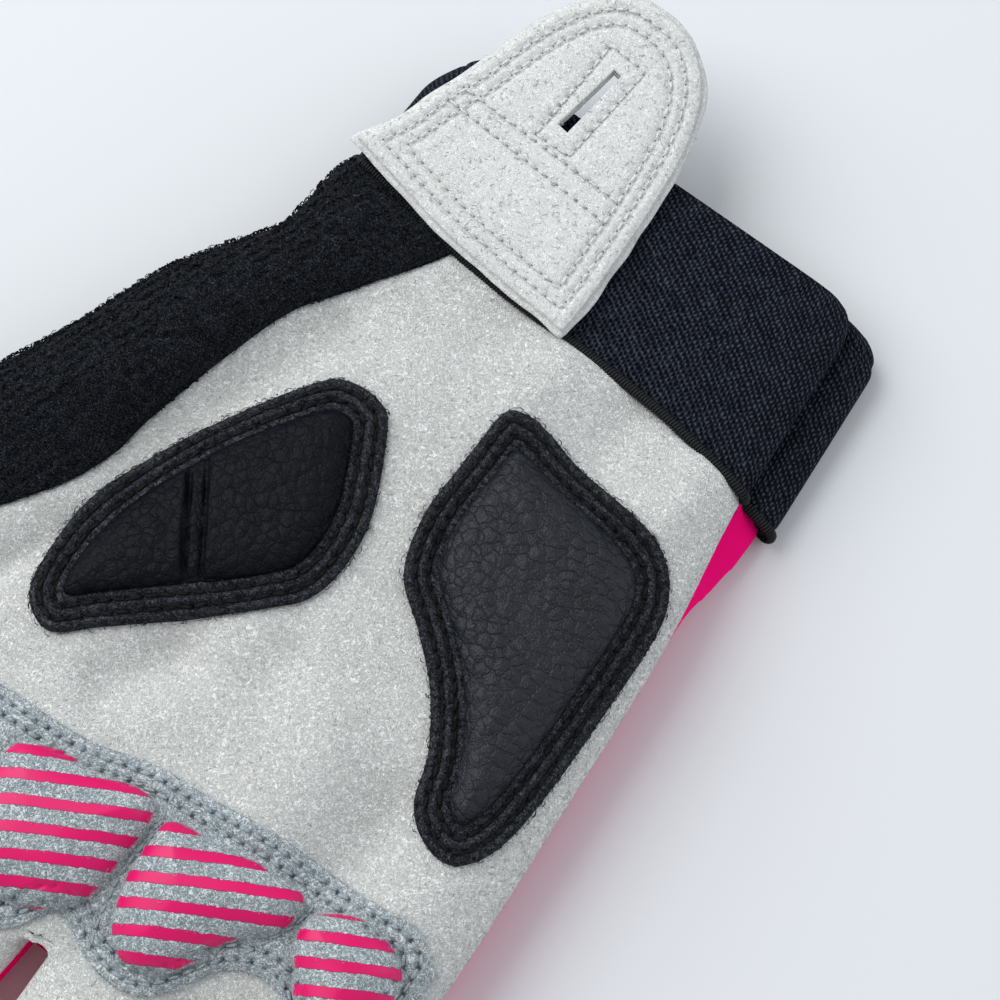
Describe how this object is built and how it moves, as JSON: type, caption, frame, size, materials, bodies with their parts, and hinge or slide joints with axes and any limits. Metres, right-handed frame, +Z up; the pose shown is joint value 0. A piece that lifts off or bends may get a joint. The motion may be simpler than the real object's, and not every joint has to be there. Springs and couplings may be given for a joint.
{
  "type": "cycling glove",
  "caption": "Short-finger cycling glove lying palm up: light suede palm with black stitched leather pads, magenta knit back, black terry thumb panel, elastic cuff and a slit suede pull tab.",
  "frame": {"origin": "middle of the bounding box, at the surface that the glove lies on", "axes": "+Y towards the wrist, +X towards the little finger, +Z up out of the palm"},
  "size_m": [0.1218, 0.1922, 0.0201],
  "materials": {
    "suede": "light grey synthetic suede, matt, short nap",
    "magenta_knit": "smooth stretch knit, slight sheen",
    "terry": "looped terry, matt black",
    "elastic": "ribbed woven elastic, black",
    "pad_leather": "pebbled black leather, satin",
    "pad_edge": "black suede, matt",
    "grey_suede": "blue-grey suede with smooth magenta printed stripes on the gel domes"
  },
  "bodies": {
    "root": {"palm_panel": "suede", "back_panel": "magenta_knit", "thumb_panel": "terry", "cuff_band": "elastic", "pull_tab_backing": "suede", "pull_tab_face": "suede", "heel_pad_border": "pad_edge", "heel_cushion": "pad_leather", "thenar_pad_border": "pad_edge", "thenar_cushion_large": "pad_leather", "thenar_cushion_small": "pad_leather", "knuckle_patch": "grey_suede"}
  },
  "joints": []
}
